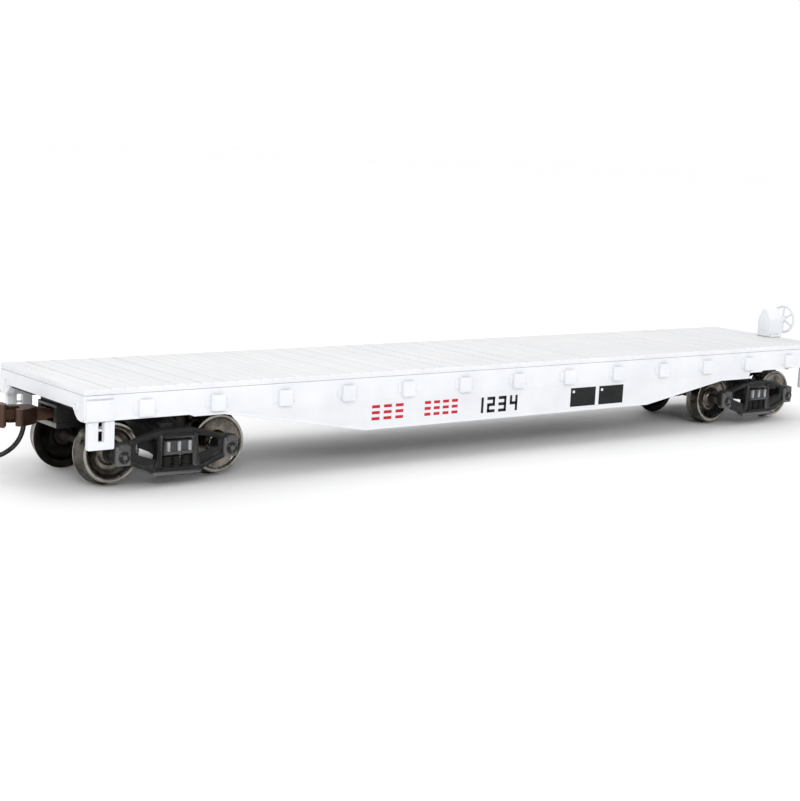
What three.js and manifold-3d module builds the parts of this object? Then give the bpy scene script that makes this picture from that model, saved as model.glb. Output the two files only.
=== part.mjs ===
// Model flat car, HO scale (1:87), millimetres, +Z up.
// Origin: centre of the car on the plane that the wheel flanges stand on.
// X runs along the car: -X is the A end, +X is the B end with the hand brake.
// -Y is the near side and +Y the far side.
import * as THREE from 'three';
import { mergeVertices } from 'three/addons/utils/BufferGeometryUtils.js';
import Module from 'manifold-3d';

const wasm = await Module();
wasm.setup();

// ---------------------------------------------------------------- dimensions
const FLANGE_DEPTH = 0.64;                 // flange height below the tread
const RAIL_Z = FLANGE_DEPTH;               // rail top, where the treads run
const FIT = 0.05;                          // gap between two pieces that touch

const DECK_LENGTH = 187.2;                 // 53 ft 6 in at 1:87.1
const DECK_WIDTH = 31.4;
const DECK_TOP = RAIL_Z + 17.2;
const DECK_THICK = 1.0;
const DECK_BOTTOM = DECK_TOP - DECK_THICK;
const PLANK_PITCH = 4.8;
const PLANK_GROOVE = 0.24;
const PLANK_GROOVE_DEPTH = 0.16;

const SILL_THICK = 1.5;
const SILL_TOP = DECK_BOTTOM - FIT;
const SILL_END_Z = RAIL_Z + 11.9;          // bottom edge over the trucks
const SILL_STEP_Z = SILL_END_Z - 0.35;     // slightly deeper inboard of them
const SILL_MID_Z = RAIL_Z + 6.5;           // bottom edge of the deep middle
const SILL_STEP_X = 74.0;
const SILL_SLOPE_OUT = 67.3;
const SILL_SLOPE_IN = 37;
const SILL_LIP = [60.1, 69.2, 10.95];        // the jacking lip's two ends in x and its z

const POCKET_COUNT = 13;
const POCKET_PITCH = 13.73;
const POCKET_WIDTH = 2.9;
const POCKET_FLANGE_WIDTH = 4.7;
const POCKET_DEPTH = 0.9;
const POCKET_TOP = DECK_TOP - 2.1;
const POCKET_BOTTOM = DECK_TOP - 4.9;

const END_SILL_THICK = 1.5;
const END_SILL_Z = RAIL_Z + 13.7;
const END_SILL_DEEP_Y = 11.9;

const TRUCK_X = 75.0;                      // truck centres 150 mm apart
const WHEELBASE = 20.8;                    // just under 6 ft
const TREAD_R = 5.25;                      // 36 in wheel
const FLANGE_R = TREAD_R + FLANGE_DEPTH;
const AXLE_Z = FLANGE_R;
const BACK_TO_BACK = 14.4;
const WHEEL_WIDTH = 2.8;
const WHEEL_SEGMENTS = 20;
const AXLE_R = 1.0;
const AXLE_HALF = 13.0;

const FRAME_IN_Y = 12.35;                  // side frame plate, inner face
const FRAME_OUT_Y = 13.7;
const JOURNAL_OUT_Y = 14.4;
const FRAME_TOP_Z = 9.8;
const FRAME_FOOT_Z = 2.0;
const BODY_CENTRE_PLATE_Z = 12.6;

const COUPLER_Z = RAIL_Z + 10.8;
const COUPLER_PIVOT_X = 88.1;
const DRAFT_IN_X = 81.0;
const DRAFT_OUT_X = 92.3;
const DRAFT_HALF_Y = 3.5;
const DRAFT_TOP = 13.25;
const DRAFT_BOTTOM = 10.25;
const COVER_BOTTOM = 9.3;

const BRAKE_Y = -2.1;
const BRAKE_WHEEL_Z = RAIL_Z + 21.1;
const BRAKE_WHEEL_R = 3.4;

// ----------------------------------------------------------------- materials
function material(color, roughness, metalness = 0) {
  return new THREE.MeshStandardMaterial({ color, roughness, metalness });
}
const WHITE = material(0xf2f2f4, 0.45);
const BLACK = material(0x1b1b1d, 0.55);
const TRUCK_GREY = material(0x2c2d30, 0.5);
const WHEEL_METAL = material(0xb3ada2, 0.32, 0.9);
const AXLE_DARK = material(0x2b2420, 0.4, 0.6);
const COUPLER_BROWN = material(0x4d3427, 0.55, 0.2);
const STEEL = material(0x8b8d90, 0.35, 1.0);
const WEIGHT_STEEL = material(0x6c6e72, 0.5, 0.9);

// --------------------------------------------------------- solids and joins
function solid(geometry) {
  const bare = geometry.clone();
  for (const name of Object.keys(bare.attributes)) {
    if (name !== 'position') bare.deleteAttribute(name);
  }
  const merged = mergeVertices(bare, 1e-5);
  const index = merged.index.array;
  const triangles = [];
  for (let i = 0; i < index.length; i += 3) {
    const [a, b, c] = [index[i], index[i + 1], index[i + 2]];
    if (a !== b && b !== c && a !== c) triangles.push(a, b, c);
  }
  const build = (list) => new wasm.Manifold(new wasm.Mesh({
    numProp: 3,
    vertProperties: new Float32Array(merged.attributes.position.array),
    triVerts: new Uint32Array(list),
  }));
  const first = build(triangles);
  if (first.volume() > 0) return first;
  for (let i = 0; i < triangles.length; i += 3) {
    [triangles[i + 1], triangles[i + 2]] = [triangles[i + 2], triangles[i + 1]];
  }
  return build(triangles);
}

function geometryOf(manifold) {
  const mesh = manifold.getMesh();
  const geometry = new THREE.BufferGeometry();
  const stride = mesh.numProp;
  const count = mesh.vertProperties.length / stride;
  const position = new Float32Array(count * 3);
  for (let i = 0; i < count; i += 1) {
    for (let k = 0; k < 3; k += 1) position[i * 3 + k] = mesh.vertProperties[i * stride + k];
  }
  geometry.setAttribute('position', new THREE.BufferAttribute(position, 3));
  geometry.setIndex(new THREE.BufferAttribute(new Uint32Array(mesh.triVerts), 1));
  geometry.computeVertexNormals();
  return geometry;
}

const join = (...parts) => parts.reduce((sum, part) => sum.add(part));
const cut = (whole, ...tools) => tools.reduce((rest, tool) => rest.subtract(tool), whole);

function box(x0, x1, y0, y1, z0, z1) {
  const g = new THREE.BoxGeometry(x1 - x0, y1 - y0, z1 - z0);
  g.translate((x0 + x1) / 2, (y0 + y1) / 2, (z0 + z1) / 2);
  return solid(g);
}

function outline(points) {
  return new THREE.Shape(points.map(([a, b]) => new THREE.Vector2(a, b)));
}

function extrude(points, depth) {
  return new THREE.ExtrudeGeometry(outline(points), { depth, bevelEnabled: false, steps: 1 });
}

// A prism whose section lies in XY, XZ or YZ and that runs along Z, Y or X.
function prismZ(points, z0, z1) {
  const g = extrude(points, z1 - z0);
  g.translate(0, 0, z0);
  return solid(g);
}
function prismY(points, y0, y1, holes = []) {
  const g = extrude(points, y1 - y0);
  g.rotateX(Math.PI / 2);
  g.translate(0, y1, 0);
  return cut(solid(g), ...holes.map((hole) => prismY(hole, y0 - 1, y1 + 1)));
}
function prismX(points, x0, x1) {
  const g = extrude(points, x1 - x0);
  g.applyMatrix4(new THREE.Matrix4().makeBasis(
    new THREE.Vector3(0, 1, 0), new THREE.Vector3(0, 0, 1), new THREE.Vector3(1, 0, 0)));
  g.translate(x0, 0, 0);
  return solid(g);
}

// A turned solid about the Y, Z or X axis; profile points are [radius, height].
function turned(profile, axis, segments) {
  const g = new THREE.LatheGeometry(profile.map(([r, h]) => new THREE.Vector2(r, h)), segments);
  if (axis === 'z') g.rotateX(Math.PI / 2);
  if (axis === 'x') g.rotateZ(-Math.PI / 2);
  return g;
}
function rod(axis, r, h0, h1, centre, segments = 16) {
  const g = turned([[0, h0], [r, h0], [r, h1], [0, h1]], axis, segments);
  g.translate(...centre);
  return solid(g);
}

const mirrorX = (points) => points.map(([a, b]) => [-a, b]);
const bothSides = (right) => [...right, ...mirrorX(right).reverse()];

// -------------------------------------------------------------------- scene
const car = new THREE.Group();
const endGroups = { a: new THREE.Group(), b: new THREE.Group() };
endGroups.a.rotation.z = Math.PI;          // the A end is the B end turned round
car.add(endGroups.a, endGroups.b);

function add(parent, name, manifold, mat, position = [0, 0, 0]) {
  const mesh = new THREE.Mesh(geometryOf(manifold), mat);
  mesh.name = name;
  mesh.position.set(...position);
  parent.add(mesh);
  return mesh;
}

// Which side of the whole car a local side is on, for an end that may be turned.
function sideName(end, localSign) {
  const sign = end === 'a' ? -localSign : localSign;
  return sign < 0 ? 'near' : 'far';
}

// --------------------------------------------------------------------- deck
function plankDeck() {
  const half = DECK_LENGTH / 2;
  const low = DECK_TOP - PLANK_GROOVE_DEPTH;
  const section = [[-half, DECK_BOTTOM], [half, DECK_BOTTOM], [half, DECK_TOP]];
  const grooves = Math.floor((half - 1) / PLANK_PITCH);
  for (let i = grooves; i >= -grooves; i -= 1) {
    const x = (i + 0.5) * PLANK_PITCH;
    if (x > half - 1) continue;
    section.push([x + PLANK_GROOVE / 2, DECK_TOP], [x + PLANK_GROOVE / 2, low]);
    section.push([x - PLANK_GROOVE / 2, low], [x - PLANK_GROOVE / 2, DECK_TOP]);
  }
  section.push([-half, DECK_TOP]);
  return prismY(section, -DECK_WIDTH / 2, DECK_WIDTH / 2);
}
add(car, 'deck', plankDeck(), WHITE);

// --------------------------------------------------------------- side sills
function sideSill(sign) {
  const half = DECK_LENGTH / 2;
  const outerY = sign * (DECK_WIDTH / 2);
  const lower = [
    [half, SILL_END_Z],
    [SILL_STEP_X, SILL_END_Z],
    [SILL_STEP_X - 0.8, SILL_STEP_Z],
    [SILL_SLOPE_OUT, SILL_STEP_Z],
    [SILL_SLOPE_IN, SILL_MID_Z],
  ];
  const [lipIn, lipOut, lipZ] = SILL_LIP;
  const lipped = [
    ...lower.slice(0, 3), [lipOut + 0.3, SILL_STEP_Z], [lipOut, lipZ], [lipIn, lipZ], lower[4],
  ];
  const [right, left] = sign < 0 ? [lipped, lower] : [lower, lipped];
  const section = [[half, SILL_TOP], ...right, ...mirrorX(left).reverse(), [-half, SILL_TOP]];
  const span = (inner, depth) => [outerY + sign * inner, outerY + sign * depth].sort((a, b) => a - b);
  let sill = prismY(section, ...span(-SILL_THICK, 0));
  const first = -((POCKET_COUNT - 1) / 2) * POCKET_PITCH;
  for (let i = 0; i < POCKET_COUNT; i += 1) {
    const x = first + i * POCKET_PITCH;
    const strap = box(x - POCKET_WIDTH / 2, x + POCKET_WIDTH / 2,
      ...span(-0.2, POCKET_DEPTH), POCKET_BOTTOM, POCKET_TOP);
    const stakeHole = box(x - 0.95, x + 0.95,
      ...span(0, POCKET_DEPTH - 0.38), POCKET_BOTTOM - 1, POCKET_TOP + 1);
    const flange = box(x - POCKET_FLANGE_WIDTH / 2, x + POCKET_FLANGE_WIDTH / 2,
      ...span(-0.2, 0.15), POCKET_BOTTOM + 0.5, POCKET_TOP - 0.4);
    sill = join(sill, cut(strap, stakeHole), flange);
  }
  for (const end of [-1, 1]) {
    const xs = [end * (half - 0.3), end * (half - 5.2)].sort((a, b) => a - b);
    sill = join(sill, box(...xs, ...span(-0.2, 0.35), SILL_END_Z, DECK_TOP - 1.7));
  }
  return sill;
}
add(car, 'side_sill_near', sideSill(-1), WHITE);
add(car, 'side_sill_far', sideSill(1), WHITE);

// --------------------------------------------------------------- underframe
const CENTRE_SILL_TOP = 14.5;
const CENTRE_SILL_HALF_Y = 3.2;
const FRAME_TOP = DECK_BOTTOM - 2 * FIT;

function centreSill() {
  const right = [
    [78, CENTRE_SILL_TOP], [78, FRAME_TOP], [92, FRAME_TOP], [92, DRAFT_TOP + FIT],
    [57, DRAFT_TOP + FIT], [33, 8.6],
  ];
  let sill = prismY(bothSides(right), -CENTRE_SILL_HALF_Y, CENTRE_SILL_HALF_Y);
  for (const x of [-TRUCK_X, TRUCK_X]) {
    sill = join(sill, rod('z', 3.1, BODY_CENTRE_PLATE_Z, DRAFT_TOP + 0.2, [x, 0, 0], 24));
    sill = cut(sill, rod('z', 1.15, BODY_CENTRE_PLATE_Z - 1, CENTRE_SILL_TOP + 1, [x, 0, 0], 12));
  }
  return sill;
}
add(car, 'centre_sill', centreSill(), BLACK);

// A cross member stands astride the centre sill and reaches both side sills.
function crossMember(x, halfThick, top, webBottom, wingBottomIn, wingBottomOut) {
  const reach = DECK_WIDTH / 2 - SILL_THICK - 2 * FIT;
  const notch = CENTRE_SILL_HALF_Y + 0.15;
  const right = [
    [reach, top], [reach, wingBottomOut], [9.0, wingBottomIn],
    [notch, wingBottomIn], [notch, webBottom],
  ];
  return prismX(bothSides(right), x - halfThick, x + halfThick);
}
const WEB_BOTTOM = CENTRE_SILL_TOP + 0.1;
const WEIGHT_BOTTOM = DECK_BOTTOM - 2 * FIT - 1.1;
for (const [name, x, low] of [
  ['crossbearer_1', -38, 10.6], ['crossbearer_2', -14, 9.2],
  ['crossbearer_3', 14, 9.2], ['crossbearer_4', 38, 10.6],
]) {
  add(car, name, crossMember(x, 0.6, WEIGHT_BOTTOM - FIT, WEB_BOTTOM, low, low + 0.6), BLACK);
}
add(car, 'weight', box(-62, 62, -13, 13, WEIGHT_BOTTOM, FRAME_TOP), WEIGHT_STEEL);

// ---------------------------------------------------------------- air brake
function airVessel(x0, x1, y, r, z) {
  const top = WEIGHT_BOTTOM - FIT;
  const dome = r * 0.35;
  const g = turned([[0, x0], [r * 0.7, x0], [r, x0 + dome], [r, x1 - dome], [r * 0.7, x1], [0, x1]],
    'x', 16);
  g.translate(0, y, z);
  const mid = (x0 + x1) / 2;
  return join(solid(g), box(mid - 1.6, mid + 1.6, y - 0.8, y + 0.8, z, top));
}
add(car, 'brake_cylinder', airVessel(17.5, 26, -8.6, 1.9, 12.4), BLACK);
add(car, 'air_reservoir', airVessel(-31, -18, 8.4, 1.8, 12.5), BLACK);
function controlValve() {
  const body = box(-1.5, 1.5, 7.0, 10.0, 11.2, 13.6);
  const cap = rod('x', 0.9, -2.6, 2.6, [0, 8.5, 12.3], 12);
  const hanger = box(-0.8, 0.8, 7.7, 9.3, 13.4, WEIGHT_BOTTOM - FIT);
  return join(body, cap, hanger);
}
add(car, 'control_valve', controlValve(), BLACK);

// ---------------------------------------------------------------- hand brake
function brakeStand() {
  const postX0 = DECK_LENGTH / 2 + FIT;
  const half = 1.4;
  const post = prismX([
    [BRAKE_Y - half, 14.2], [BRAKE_Y + half, 14.2], [BRAKE_Y + half, BRAKE_WHEEL_Z + 0.1],
    [BRAKE_Y + 0.8, BRAKE_WHEEL_Z + 1.0], [BRAKE_Y - 0.8, BRAKE_WHEEL_Z + 1.0],
    [BRAKE_Y - half, BRAKE_WHEEL_Z + 0.1],
  ], postX0, postX0 + 1.3);
  const low = DECK_TOP + FIT;
  const high = RAIL_Z + 23.75;
  const gearCase = prismX([
    [BRAKE_Y - 1.9, low + 0.9], [BRAKE_Y - 1.5, low], [BRAKE_Y + 1.5, low], [BRAKE_Y + 1.9, low + 0.9],
    [BRAKE_Y + 1.9, high - 2.3], [BRAKE_Y + 0.7, high], [BRAKE_Y - 0.7, high],
    [BRAKE_Y - 1.9, high - 2.3],
  ], postX0 - 4.0, postX0 + 0.3);
  const bearing = rod('x', 0.9, postX0 + 1.2, postX0 + 1.8, [0, BRAKE_Y, BRAKE_WHEEL_Z], 12);
  return join(post, gearCase, bearing);
}
add(car, 'brake_stand', brakeStand(), WHITE);

function brakeWheel() {
  const rimBack = 0.75;
  const rimFront = 1.55;
  const rimGeometry = turned([
    [BRAKE_WHEEL_R - 0.62, rimBack], [BRAKE_WHEEL_R, rimBack], [BRAKE_WHEEL_R, rimFront],
    [BRAKE_WHEEL_R - 0.62, rimFront], [BRAKE_WHEEL_R - 0.62, rimBack],
  ], 'x', 20);
  const hub = rod('x', 0.75, 0, 1.5, [0, 0, 0], 8);
  let wheel = join(solid(rimGeometry), hub);
  for (let i = 0; i < 6; i += 1) {
    const g = new THREE.BoxGeometry(0.45, 0.42, BRAKE_WHEEL_R - 0.6);
    g.translate(1.1, 0, (BRAKE_WHEEL_R - 0.4) / 2 + 0.15);
    g.rotateX((i * Math.PI) / 3);
    wheel = join(wheel, solid(g));
  }
  return wheel;
}
const BRAKE_WHEEL_X = DECK_LENGTH / 2 + FIT + 1.8 + 0.1;
add(car, 'brake_wheel', brakeWheel(), WHITE, [BRAKE_WHEEL_X, BRAKE_Y, BRAKE_WHEEL_Z]);

// ------------------------------------------------- end sills, steps, bolsters
function endSill() {
  const reach = DECK_WIDTH / 2 - SILL_THICK - FIT;
  const right = [
    [reach, SILL_TOP], [reach, SILL_END_Z], [END_SILL_DEEP_Y + 1.6, SILL_END_Z + 0.1],
    [END_SILL_DEEP_Y + 0.4, SILL_END_Z + 0.9],
    [END_SILL_DEEP_Y, END_SILL_Z],
  ];
  return prismX(bothSides(right), DECK_LENGTH / 2 - END_SILL_THICK, DECK_LENGTH / 2);
}

function stirrup(sign) {
  const xOut = DECK_LENGTH / 2 - 0.85;
  const xIn = xOut - 4.8;
  const leg = 1.65;
  const top = SILL_END_Z - FIT;
  const foot = RAIL_Z + 7.11;
  const frame = [[xIn, foot], [xOut, foot], [xOut, top], [xIn, top]];
  const slot = (z0, z1) => [[xIn + leg, z0], [xOut - leg, z0], [xOut - leg, z1], [xIn + leg, z1]];
  const rungZ = RAIL_Z + 10.26;
  const holes = [slot(foot + 1.35, rungZ - 0.25), slot(rungZ + 0.25, top - 0.3)];
  const ys = [sign * (DECK_WIDTH / 2 - 0.15), sign * (DECK_WIDTH / 2 - 1.15)].sort((a, b) => a - b);
  return prismY(frame, ...ys, holes);
}

// ------------------------------------------------------------------- couplers
function draftGearBox() {
  const outer = box(DRAFT_IN_X, DRAFT_OUT_X, -DRAFT_HALF_Y, DRAFT_HALF_Y, DRAFT_BOTTOM, DRAFT_TOP);
  const cavity = box(DRAFT_IN_X + 3.5, DRAFT_OUT_X + 1, -2.35, 2.35, DRAFT_BOTTOM - 1, DRAFT_TOP - 0.6);
  const post = rod('z', 0.8, DRAFT_BOTTOM + 0.02, DRAFT_TOP - 0.4, [COUPLER_PIVOT_X, 0, 0], 12);
  const screwHole = rod('z', 0.72, DRAFT_BOTTOM - 1, DRAFT_TOP + 1, [DRAFT_IN_X + 1.7, 0, 0], 12);
  return cut(join(cut(outer, cavity), post), screwHole);
}
function draftGearCover() {
  const plate = box(DRAFT_IN_X, DRAFT_OUT_X, -DRAFT_HALF_Y, DRAFT_HALF_Y,
    COVER_BOTTOM, DRAFT_BOTTOM - FIT);
  return cut(plate, rod('z', 0.72, COVER_BOTTOM - 1, DRAFT_BOTTOM + 1, [DRAFT_IN_X + 1.7, 0, 0], 12));
}
function screw(headR, headBottom, headTop, shankR, shankTop) {
  const slotDepth = Math.min(0.45, (headTop - headBottom) / 2);
  const g = turned([
    [0, headBottom], [headR - 0.15, headBottom], [headR, headBottom + 0.15], [headR, headTop],
    [shankR, headTop], [shankR, shankTop - 0.4], [shankR * 0.4, shankTop], [0, shankTop],
  ], 'z', 12);
  const slot = box(-headR - 1, headR + 1, -0.17, 0.17, headBottom - 1, headBottom + slotDepth);
  return cut(solid(g), slot);
}

const KNUCKLE_PIN = [10.0, -1.7];           // knuckle pivot in the coupler's own frame
function arc([cx, cy], r, from, to, steps) {
  const points = [];
  for (let i = 0; i <= steps; i += 1) {
    const angle = ((from + ((to - from) * i) / steps) * Math.PI) / 180;
    points.push([cx + r * Math.cos(angle), cy + r * Math.sin(angle)]);
  }
  return points;
}
function couplerBody() {
  const eye = cut(rod('z', 1.8, -0.75, 0.75, [0, 0, 0], 20), rod('z', 0.97, -2, 2, [0, 0, 0], 12));
  const shank = box(1.45, 7.0, -0.9, 0.9, -0.75, 0.75);
  const neck = box(4.6, 7.0, -0.9, 0.9, -1.05, 1.05);
  const head = prismZ([
    [6.5, -0.9], [7.3, -1.9], [8.8, -2.35], [8.95, -0.9], [9.2, -0.3], [9.35, 0.4],
    [9.7, 1.15], [10.9, 2.1], [10.75, 2.85], [10.0, 3.0], [8.4, 2.3], [7.3, 1.6], [6.5, 0.9],
  ], -1.4, 1.4);
  const lug = (z0, z1) => prismZ([
    [8.6, -2.25], ...arc(KNUCKLE_PIN, 1.0, 250, 430, 8), [8.6, -0.85],
  ], z0, z1);
  const pinHole = rod('z', 0.52, -2.4, -0.8, [8.4, 0.1, 0], 8);
  return cut(join(eye, shank, neck, head, lug(-1.4, -0.95), lug(0.95, 1.4)), pinHole);
}
function knuckle() {
  const [px, py] = KNUCKLE_PIN;
  const hub = prismZ([
    ...arc(KNUCKLE_PIN, 0.88, 90, 290, 8), [11.05, -2.55], [11.7, -2.15], [11.7, -0.75],
  ], -0.85, 0.85);
  const nose = prismZ([
    [11.2, -2.45], [12.05, -2.2], [12.7, -1.6], [12.9, -0.8], [12.8, 0.2], [12.4, 0.7],
    [11.95, 0.5], [11.7, -0.2], [11.2, -0.7],
  ], -1.9, 1.9);
  return join(hub, nose).translate(-px, -py, 0);
}
function tripPin() {
  const route = new THREE.CatmullRomCurve3([
    [8.4, 0.1, -0.95], [8.5, 0.1, -2.2], [8.85, 0.0, -3.6], [9.6, -0.3, -5.0],
    [10.9, -0.8, -6.3], [12.3, -1.3, -7.0], [13.3, -1.6, -7.15],
  ].map((p) => new THREE.Vector3(...p)));
  const ring = arc([0, 0], 0.43, 0, 315, 7);
  return solid(new THREE.ExtrudeGeometry(outline(ring), { steps: 12, extrudePath: route, bevelEnabled: false }));
}

// --------------------------------------------------------------------- trucks
function sideFrame(sign) {
  const j = WHEELBASE / 2;
  const right = [
    [3.2, FRAME_TOP_Z], [5.6, 9.3], [8.6, 8.3], [j + 1.0, 8.1], [j + 1.45, 7.7], [j + 1.45, 4.8],
    [j + 1.0, 4.3], [j - 1.2, 4.3], [5.0, 2.8], [4.4, FRAME_FOOT_Z],
  ];
  const springWindow = [[-2.95, 3.4], [2.95, 3.4], [2.95, 8.2], [-2.95, 8.2]];
  const sideWindow = [[4.0, 4.7], [8.0, 6.1], [8.0, 7.75], [4.0, 8.55]];
  const ys = (a, b) => [sign * a, sign * b].sort((p, q) => p - q);
  let frame = prismY(bothSides(right), ...ys(FRAME_IN_Y, FRAME_OUT_Y),
    [springWindow, sideWindow, mirrorX(sideWindow)]);
  for (const x of [-j, j]) {
    frame = join(frame, box(x - 1.3, x + 1.3, ...ys(FRAME_IN_Y + 0.1, JOURNAL_OUT_Y), 4.5, 7.8));
    frame = join(frame, rod('y', 0.95, ...ys(JOURNAL_OUT_Y - 0.2, JOURNAL_OUT_Y + 0.25), [x, 0, AXLE_Z], 10));
  }
  const topRib = [
    [3.0, FRAME_TOP_Z], [3.0, 9.1], [5.4, 8.65], [9.0, 7.6], [9.0, 8.2], [8.6, 8.3], [5.6, 9.3],
    [3.2, FRAME_TOP_Z],
  ];
  for (const rib of [topRib, mirrorX(topRib)]) {
    frame = join(frame, prismY(rib, ...ys(FRAME_OUT_Y - 0.2, FRAME_OUT_Y + 0.4)));
  }
  frame = join(frame, box(-3.1, 3.1, ...ys(FRAME_OUT_Y - 0.2, FRAME_OUT_Y + 0.4), 9.1, FRAME_TOP_Z));
  frame = join(frame, box(-4.4, 4.4, ...ys(FRAME_OUT_Y - 0.2, FRAME_OUT_Y + 0.4), FRAME_FOOT_Z, 3.1));
  for (const x of [-1.85, 0, 1.85]) {
    frame = join(frame, rod('z', 0.8, 3.0, 5.45, [x, sign * 13.05, 0], 8));
  }
  for (const x of [-j, j]) {
    const g = turned([[0, FRAME_IN_Y - 0.1], [0.82, FRAME_IN_Y - 0.1], [0.22, 13.2], [0, 13.2]]
      .map(([r, h]) => [r, sign * h]), 'y', 8);
    g.translate(x, 0, AXLE_Z);
    frame = cut(frame, solid(g));
  }
  return frame;
}

function truckBolster() {
  const right = [
    [5.0, 10.4], [10.4, 9.3], [11.7, 7.85], [14.05, 7.85], [14.05, 5.55], [9.0, 5.2],
  ];
  let beam = prismX(bothSides(right), -2.7, 2.7);
  beam = join(beam, rod('z', 3.1, 10.2, BODY_CENTRE_PLATE_Z - FIT, [0, 0, 0], 24));
  return cut(beam,
    rod('z', 2.2, 4.0, 7.1, [0, 0, 0], 16),
    rod('z', 1.3, 4.0, 14.0, [0, 0, 0], 12));
}

function axle() {
  const end = [[1.0, 11.3], [0.75, 11.6], [0.5, 12.15], [0, AXLE_HALF]];
  const start = end.map(([r, h]) => [r, -h]).reverse();
  return solid(turned([...start, ...end], 'y', 12));
}

// Wheel with its outer face towards +Y; sign -1 turns the profile over.
function wheel(sign) {
  const back = BACK_TO_BACK / 2;
  const front = back + WHEEL_WIDTH;
  const profile = [
    [AXLE_R + 0.06, back + 0.1], [1.9, back + 0.1], [2.1, back + 0.75], [4.2, back + 0.75], [4.45, back],
    [FLANGE_R - 0.12, back], [FLANGE_R, back + 0.4], [TREAD_R, back + 0.95], [TREAD_R - 0.1, front],
    [4.4, front], [4.15, front - 0.8], [2.1, front - 0.8], [1.9, front - 0.1], [AXLE_R + 0.06, front - 0.1],
    [AXLE_R + 0.06, back + 0.1],
  ];
  return solid(turned(profile.map(([r, h]) => [r, sign * h]), 'y', WHEEL_SEGMENTS));
}

// ------------------------------------------------------ both ends of the car
for (const end of ['a', 'b']) {
  const group = endGroups[end];
  add(group, `end_sill_${end}`, endSill(), WHITE);
  add(group, `body_bolster_${end}`,
    crossMember(TRUCK_X, 2.6, FRAME_TOP, WEB_BOTTOM, 12.9, 14.2), BLACK);
  add(group, `draft_gear_box_${end}`, draftGearBox(), BLACK);
  add(group, `draft_gear_cover_${end}`, draftGearCover(), BLACK);
  add(group, `cover_screw_${end}`, screw(1.25, COVER_BOTTOM - 0.65, COVER_BOTTOM - FIT, 0.6, 12.7), STEEL,
    [DRAFT_IN_X + 1.7, 0, 0]);
  for (const sign of [-1, 1]) {
    add(group, `stirrup_${end}_${sideName(end, sign)}`, stirrup(sign), WHITE);
  }

  const coupler = new THREE.Group();
  coupler.position.set(COUPLER_PIVOT_X, 0, COUPLER_Z);
  group.add(coupler);
  add(coupler, `coupler_${end}`, couplerBody(), COUPLER_BROWN);
  add(coupler, `knuckle_${end}`, knuckle(), COUPLER_BROWN, [...KNUCKLE_PIN, 0]);
  add(coupler, `trip_pin_${end}`, tripPin(), STEEL);

  const truck = new THREE.Group();
  truck.position.set(TRUCK_X, 0, 0);
  group.add(truck);
  add(truck, `truck_${end}_bolster`, truckBolster(), TRUCK_GREY);
  add(truck, `truck_${end}_screw`, screw(1.95, 5.3, 6.95, 1.0, 14.2), STEEL);
  for (const sign of [-1, 1]) {
    add(truck, `truck_${end}_frame_${sideName(end, sign)}`, sideFrame(sign), TRUCK_GREY);
  }
  for (const [place, x] of [['outer', WHEELBASE / 2], ['inner', -WHEELBASE / 2]]) {
    const wheelset = new THREE.Group();
    wheelset.position.set(x, 0, AXLE_Z);
    truck.add(wheelset);
    add(wheelset, `axle_${end}_${place}`, axle(), AXLE_DARK);
    for (const sign of [-1, 1]) {
      add(wheelset, `wheel_${end}_${place}_${sideName(end, sign)}`, wheel(sign), WHEEL_METAL);
    }
  }
}

export default car;
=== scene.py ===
import math

import bmesh
import bpy
from mathutils import Matrix, Vector


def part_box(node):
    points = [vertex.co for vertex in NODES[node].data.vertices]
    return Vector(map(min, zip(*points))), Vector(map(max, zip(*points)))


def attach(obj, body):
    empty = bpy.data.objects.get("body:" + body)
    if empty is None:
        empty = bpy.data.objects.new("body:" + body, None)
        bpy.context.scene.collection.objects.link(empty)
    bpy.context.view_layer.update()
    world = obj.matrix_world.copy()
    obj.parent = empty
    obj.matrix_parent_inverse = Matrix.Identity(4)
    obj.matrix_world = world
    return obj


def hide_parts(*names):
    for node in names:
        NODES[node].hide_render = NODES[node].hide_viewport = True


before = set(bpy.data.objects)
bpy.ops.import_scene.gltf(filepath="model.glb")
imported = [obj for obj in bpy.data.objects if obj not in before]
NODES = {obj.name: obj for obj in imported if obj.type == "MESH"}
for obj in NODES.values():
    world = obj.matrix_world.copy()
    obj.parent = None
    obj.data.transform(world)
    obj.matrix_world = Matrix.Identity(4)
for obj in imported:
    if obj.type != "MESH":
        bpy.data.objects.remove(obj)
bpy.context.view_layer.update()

# All shapes below are written in millimetres in the row frame and scaled by MM when they become meshes.
MM = 0.001


def corners(node):
    """The low and the high corner of a CAD node's box, in millimetres."""
    low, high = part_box(node)
    return Vector(low) / MM, Vector(high) / MM


def middle_of(node, axis):
    """The middle of a CAD node's box along one axis: 0, 1 or 2 for x, y or z."""
    low, high = corners(node)
    return (low[axis] + high[axis]) / 2


deck_low, deck_high = corners("deck")
HALF_LENGTH = deck_high.x
HALF_WIDTH = deck_high.y
DECK_TOP = deck_high.z
DECK_BOTTOM = deck_low.z
TRUCK_X = middle_of("truck_b_bolster", 0)
HALF_BASE = middle_of("axle_b_outer", 0) - TRUCK_X
AXLE_Z = middle_of("axle_b_outer", 2)
FLANGE_HEIGHT = 0.64
FLANGE_R = corners("wheel_b_outer_near")[1].z - AXLE_Z
TREAD_R = FLANGE_R - FLANGE_HEIGHT
RAIL_Z = FLANGE_HEIGHT                     # the flanges reach down to z = 0, so the treads stand here
COUPLER_Z = middle_of("coupler_b", 2)
PIVOT_X = 88.1                             # where a coupler swings in its box


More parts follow.
